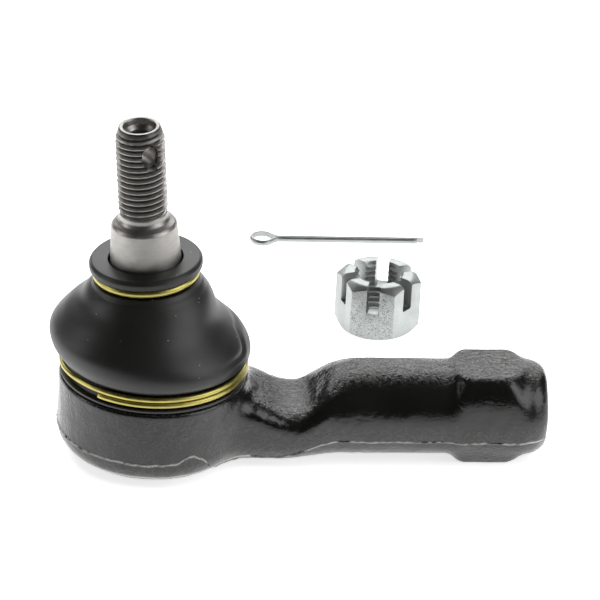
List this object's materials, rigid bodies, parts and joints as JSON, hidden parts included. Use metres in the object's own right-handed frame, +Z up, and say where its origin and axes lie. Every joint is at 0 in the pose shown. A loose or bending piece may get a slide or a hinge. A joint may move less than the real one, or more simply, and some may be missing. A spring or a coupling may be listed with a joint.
{
  "type": "tie rod end",
  "caption": "Outer tie rod end: forged socket with a threaded shank, a tapered ball stud under a rubber dust boot with wire rings, a castle nut and a split pin.",
  "frame": {"origin": "centre of the cover plate's flat, the lowest point of the socket, under the ball", "axes": "+Z up along the socket's bore towards the stud's threaded end, +X along the shank to its open threaded end, +Y away to the side where the loose nut and pin lie"},
  "size_m": [0.1225, 0.1354, 0.0893],
  "materials": {
    "black_forging": "black electrocoat over a shot-blasted forging",
    "machined_steel": "turned and rolled, oiled",
    "seat_polymer": "moulded acetal",
    "spring_steel": "hardened and blued",
    "black_plate": "black electrocoat over a pressed plate",
    "seal_rubber": "moulded, matte",
    "black_rubber": "moulded chloroprene, satin",
    "yellow_zinc": "yellow-passivated zinc on spring wire",
    "bright_zinc": "clear-passivated zinc plate"
  },
  "bodies": {
    "housing": {"housing": "black_forging", "upper_ball_seat": "seat_polymer", "lower_ball_seat": "seat_polymer", "preload_spring": "spring_steel", "cover_plate": "black_plate", "cover_seal": "seal_rubber", "boot_base_ring": "yellow_zinc"},
    "boot": {"dust_boot": "black_rubber"},
    "boot_neck": {"boot_neck_ring": "yellow_zinc"},
    "stud": {"ball_stud": "machined_steel"},
    "nut": {"castle_nut": "bright_zinc"},
    "pin": {"split_pin": "bright_zinc"}
  },
  "joints": [
    {"name": "stud_rock", "type": "hinge", "parent": "housing", "child": "boot", "pos_m": [0, 0, 0.0154], "axis": [0, 1, 0], "range_deg": [-15.5, 24.5], "deforming": ["dust_boot"]},
    {"name": "stud_tilt", "type": "hinge", "parent": "boot", "child": "boot_neck", "pos_m": [0, 0, 0.0154], "axis": [0.9969, 0, 0.0785], "range_deg": [-20, 20], "deforming": ["dust_boot"]},
    {"name": "stud_spin", "type": "hinge", "parent": "boot_neck", "child": "stud", "pos_m": [0, 0, 0.0154], "axis": [-0.0785, 0, 0.9969], "continuous": true},
    {"name": "nut_lift", "type": "slide", "parent": "housing", "child": "nut", "axis": [0, 0, 1], "range_m": [0, 0.1]},
    {"name": "pin_lift", "type": "slide", "parent": "housing", "child": "pin", "axis": [0, 0, 1], "range_m": [0, 0.1]}
  ]
}
